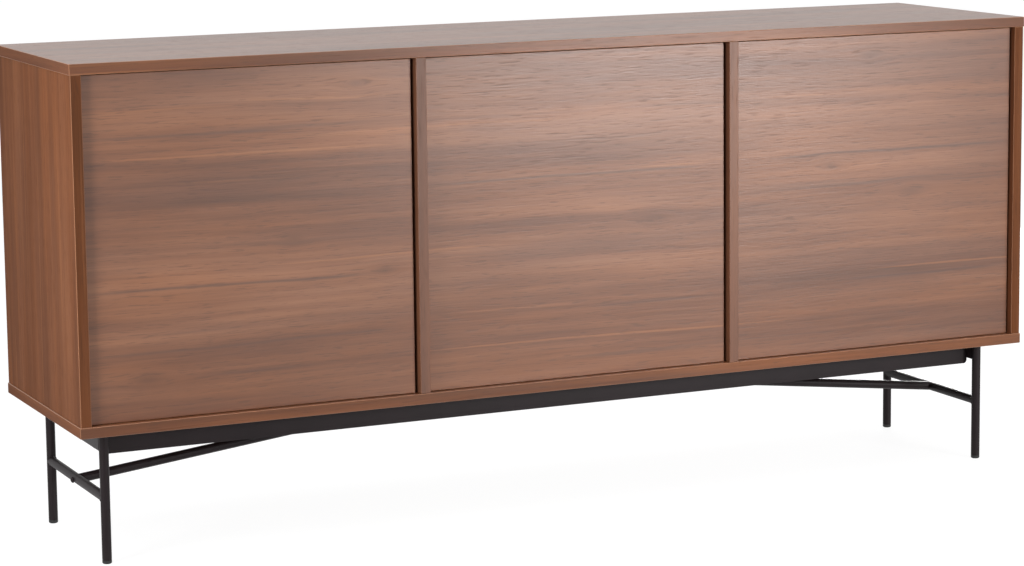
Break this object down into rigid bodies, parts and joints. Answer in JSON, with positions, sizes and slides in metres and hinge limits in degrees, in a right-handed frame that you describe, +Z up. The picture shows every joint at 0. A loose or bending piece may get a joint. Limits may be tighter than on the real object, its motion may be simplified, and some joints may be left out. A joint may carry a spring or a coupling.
{
  "type": "office credenza",
  "caption": "Long low office credenza with flush push-to-open doors, shelves behind them and a braced round-tube metal base.",
  "frame": {"origin": "on the floor under the middle of the carcase", "axes": "+X along the length to the right, +Y from the doors to the back, +Z up"},
  "size_m": [1.8, 0.43, 0.828],
  "materials": {
    "walnut_carcase": "satin walnut-look faces, vertical grain on the sides",
    "walnut_door": "satin walnut-look faces, horizontal grain that runs on from door to door",
    "back_board": "matt printed fibreboard",
    "black_metal": "satin black powder coat",
    "foot_plastic": "matt black",
    "latch_plastic": "fine moulded grey",
    "hinge_steel": "bright nickel plate"
  },
  "bodies": {
    "carcase": {"top_board": "walnut_carcase", "bottom_board": "walnut_carcase", "side_left": "walnut_carcase", "side_right": "walnut_carcase", "partition_left": "walnut_carcase", "partition_right": "walnut_carcase", "back_panel": "back_board", "hinge_arm_left_lower": "hinge_steel", "hinge_arm_left_upper": "hinge_steel", "latch_housing_left": "latch_plastic", "shelf_left": "walnut_carcase", "shelf_pin_left_front_left": "hinge_steel", "shelf_pin_left_front_right": "hinge_steel", "shelf_pin_left_rear_left": "hinge_steel", "shelf_pin_left_rear_right": "hinge_steel", "hinge_arm_middle_lower": "hinge_steel", "hinge_arm_middle_upper": "hinge_steel", "latch_housing_middle": "latch_plastic", "shelf_middle": "walnut_carcase", "shelf_pin_middle_front_left": "hinge_steel", "shelf_pin_middle_front_right": "hinge_steel", "shelf_pin_middle_rear_left": "hinge_steel", "shelf_pin_middle_rear_right": "hinge_steel", "hinge_arm_right_lower": "hinge_steel", "hinge_arm_right_upper": "hinge_steel", "latch_housing_right": "latch_plastic", "shelf_right": "walnut_carcase", "shelf_pin_right_front_left": "hinge_steel", "shelf_pin_right_front_right": "hinge_steel", "shelf_pin_right_rear_left": "hinge_steel", "shelf_pin_right_rear_right": "hinge_steel", "end_frame_left": "black_metal", "brace_left": "black_metal", "brace_bolt_left": "black_metal", "foot_front_left": "foot_plastic", "frame_screw_front_left": "black_metal", "foot_rear_left": "foot_plastic", "frame_screw_rear_left": "black_metal", "end_frame_right": "black_metal", "brace_right": "black_metal", "brace_bolt_right": "black_metal", "foot_front_right": "foot_plastic", "frame_screw_front_right": "black_metal", "foot_rear_right": "foot_plastic", "frame_screw_rear_right": "black_metal", "rail_front": "black_metal", "rail_rear": "black_metal"},
    "door_left_leaf": {"door_left": "walnut_door", "hinge_cup_left_lower": "hinge_steel", "hinge_cup_left_upper": "hinge_steel"},
    "plunger_left": {"latch_plunger_left": "latch_plastic"},
    "door_middle_leaf": {"door_middle": "walnut_door", "hinge_cup_middle_lower": "hinge_steel", "hinge_cup_middle_upper": "hinge_steel"},
    "plunger_middle": {"latch_plunger_middle": "latch_plastic"},
    "door_right_leaf": {"door_right": "walnut_door", "hinge_cup_right_lower": "hinge_steel", "hinge_cup_right_upper": "hinge_steel"},
    "plunger_right": {"latch_plunger_right": "latch_plastic"}
  },
  "joints": [
    {"name": "door_left_swing", "type": "hinge", "parent": "carcase", "child": "door_left_leaf", "pos_m": [-0.878, -0.202, 0.526], "axis": [0, 0, -1], "range_deg": [0, 95]},
    {"name": "plunger_left_slide", "type": "slide", "parent": "carcase", "child": "plunger_left", "axis": [0, -1, 0], "range_m": [0, 0.02]},
    {"name": "door_middle_swing", "type": "hinge", "parent": "carcase", "child": "door_middle_leaf", "pos_m": [-0.285, -0.202, 0.526], "axis": [0, 0, -1], "range_deg": [0, 95]},
    {"name": "plunger_middle_slide", "type": "slide", "parent": "carcase", "child": "plunger_middle", "axis": [0, -1, 0], "range_m": [0, 0.02]},
    {"name": "door_right_swing", "type": "hinge", "parent": "carcase", "child": "door_right_leaf", "pos_m": [0.878, -0.202, 0.526], "axis": [0, 0, 1], "range_deg": [0, 95]},
    {"name": "plunger_right_slide", "type": "slide", "parent": "carcase", "child": "plunger_right", "axis": [0, -1, 0], "range_m": [0, 0.02]}
  ],
  "couplings": [
    {"joint": "plunger_left_slide", "follows": "door_left_swing", "m_per_rad": 0.012},
    {"joint": "plunger_middle_slide", "follows": "door_middle_swing", "m_per_rad": 0.012},
    {"joint": "plunger_right_slide", "follows": "door_right_swing", "m_per_rad": 0.012}
  ]
}
